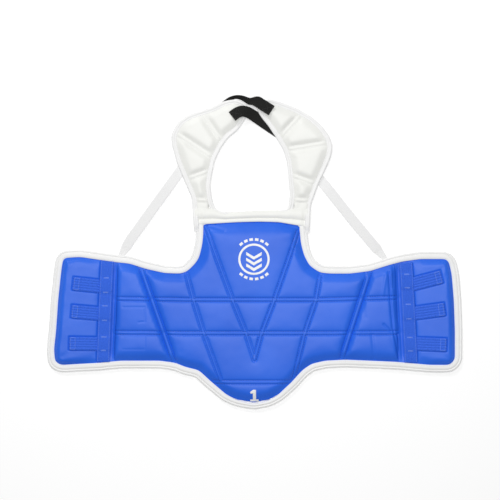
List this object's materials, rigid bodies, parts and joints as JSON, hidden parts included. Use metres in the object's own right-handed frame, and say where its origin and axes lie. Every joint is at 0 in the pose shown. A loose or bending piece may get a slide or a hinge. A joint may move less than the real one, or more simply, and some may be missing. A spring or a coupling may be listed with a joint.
{
  "type": "martial arts chest protector",
  "caption": "Padded sparring chest guard laid flat: quilted body panel with laced side wings, padded shoulder flaps and cross-back straps.",
  "frame": {"origin": "middle of the laid-out guard's outline, at the level of its back", "axes": "+X to the right across the width seen from the front, +Y from the hem towards the shoulders, +Z out of the front"},
  "size_m": [0.7989, 0.6036, 0.0146],
  "materials": {
    "blue_vinyl": "glossy embossed polyurethane leather",
    "white_vinyl": "satin polyurethane leather",
    "white_binding": "folded satin edge binding",
    "blue_webbing": "flat woven webbing",
    "white_webbing": "flat woven webbing",
    "black_elastic": "ribbed woven elastic",
    "back_lining": "plain woven lining cloth",
    "flap_lining": "plain woven lining cloth",
    "foam": "closed-cell foam",
    "white_print": "flat printed ink"
  },
  "bodies": {
    "torso": {"chest_foam": "foam", "chest_front_cover": "blue_vinyl", "chest_back_cover": "back_lining", "tongue_binding": "white_binding", "left_armhole_binding": "white_binding", "right_armhole_binding": "white_binding", "yoke_band": "white_vinyl", "chest_emblem": "white_print", "size_numeral": "white_print", "left_strap": "white_webbing", "right_strap": "white_webbing"},
    "left_wing": {"left_wing_foam": "foam", "left_wing_front_cover": "blue_vinyl", "left_wing_back_cover": "back_lining", "left_wing_top_binding": "white_binding", "left_wing_hem_binding": "white_binding", "left_strap_end": "white_webbing"},
    "left_end": {"left_end_foam": "foam", "left_end_front_cover": "blue_vinyl", "left_end_back_cover": "back_lining", "left_end_binding": "white_binding", "left_lacing_strip": "blue_webbing", "left_tab_top": "blue_webbing", "left_tab_middle": "blue_webbing", "left_tab_bottom": "blue_webbing"},
    "left_shoulder": {"left_shoulder_foam": "foam", "left_shoulder_front_cover": "white_vinyl", "left_shoulder_back_cover": "flap_lining", "left_shoulder_outer_binding": "white_binding", "left_shoulder_neck_binding": "white_binding", "left_neck_elastic": "black_elastic", "right_strap_top": "white_webbing"},
    "right_wing": {"right_wing_foam": "foam", "right_wing_front_cover": "blue_vinyl", "right_wing_back_cover": "back_lining", "right_wing_top_binding": "white_binding", "right_wing_hem_binding": "white_binding", "right_strap_end": "white_webbing"},
    "right_end": {"right_end_foam": "foam", "right_end_front_cover": "blue_vinyl", "right_end_back_cover": "back_lining", "right_end_binding": "white_binding", "right_lacing_strip": "blue_webbing", "right_tab_top": "blue_webbing", "right_tab_middle": "blue_webbing", "right_tab_bottom": "blue_webbing"},
    "right_shoulder": {"right_shoulder_foam": "foam", "right_shoulder_front_cover": "white_vinyl", "right_shoulder_back_cover": "flap_lining", "right_shoulder_outer_binding": "white_binding", "right_shoulder_neck_binding": "white_binding", "right_neck_elastic": "black_elastic", "left_strap_top": "white_webbing"}
  },
  "joints": [
    {"name": "left_wing_wrap", "type": "hinge", "parent": "torso", "child": "left_wing", "pos_m": [-0.218, -0.038, 0], "axis": [0.3311, -0.9436, 0], "range_deg": [-20, 75]},
    {"name": "right_wing_wrap", "type": "hinge", "parent": "torso", "child": "right_wing", "pos_m": [0.22, -0.038, 0], "axis": [0.3078, 0.9514, 0], "range_deg": [-20, 75]},
    {"name": "left_end_wrap", "type": "hinge", "parent": "left_wing", "child": "left_end", "pos_m": [-0.269, -0.017, 0], "axis": [-0.0406, -0.9992, 0], "range_deg": [-20, 60]},
    {"name": "right_end_wrap", "type": "hinge", "parent": "right_wing", "child": "right_end", "pos_m": [0.273, -0.017, 0], "axis": [-0.0504, 0.9987, 0], "range_deg": [-20, 60]},
    {"name": "left_shoulder_fold", "type": "hinge", "parent": "torso", "child": "left_shoulder", "pos_m": [0, 0.085, 0], "axis": [-1, 0, 0], "range_deg": [-40, 100]},
    {"name": "right_shoulder_fold", "type": "hinge", "parent": "torso", "child": "right_shoulder", "pos_m": [0, 0.085, 0], "axis": [-1, 0, 0], "range_deg": [-40, 100]}
  ],
  "couplings": [
    {"joint": "right_shoulder_fold", "follows": "left_shoulder_fold", "ratio": 1}
  ]
}
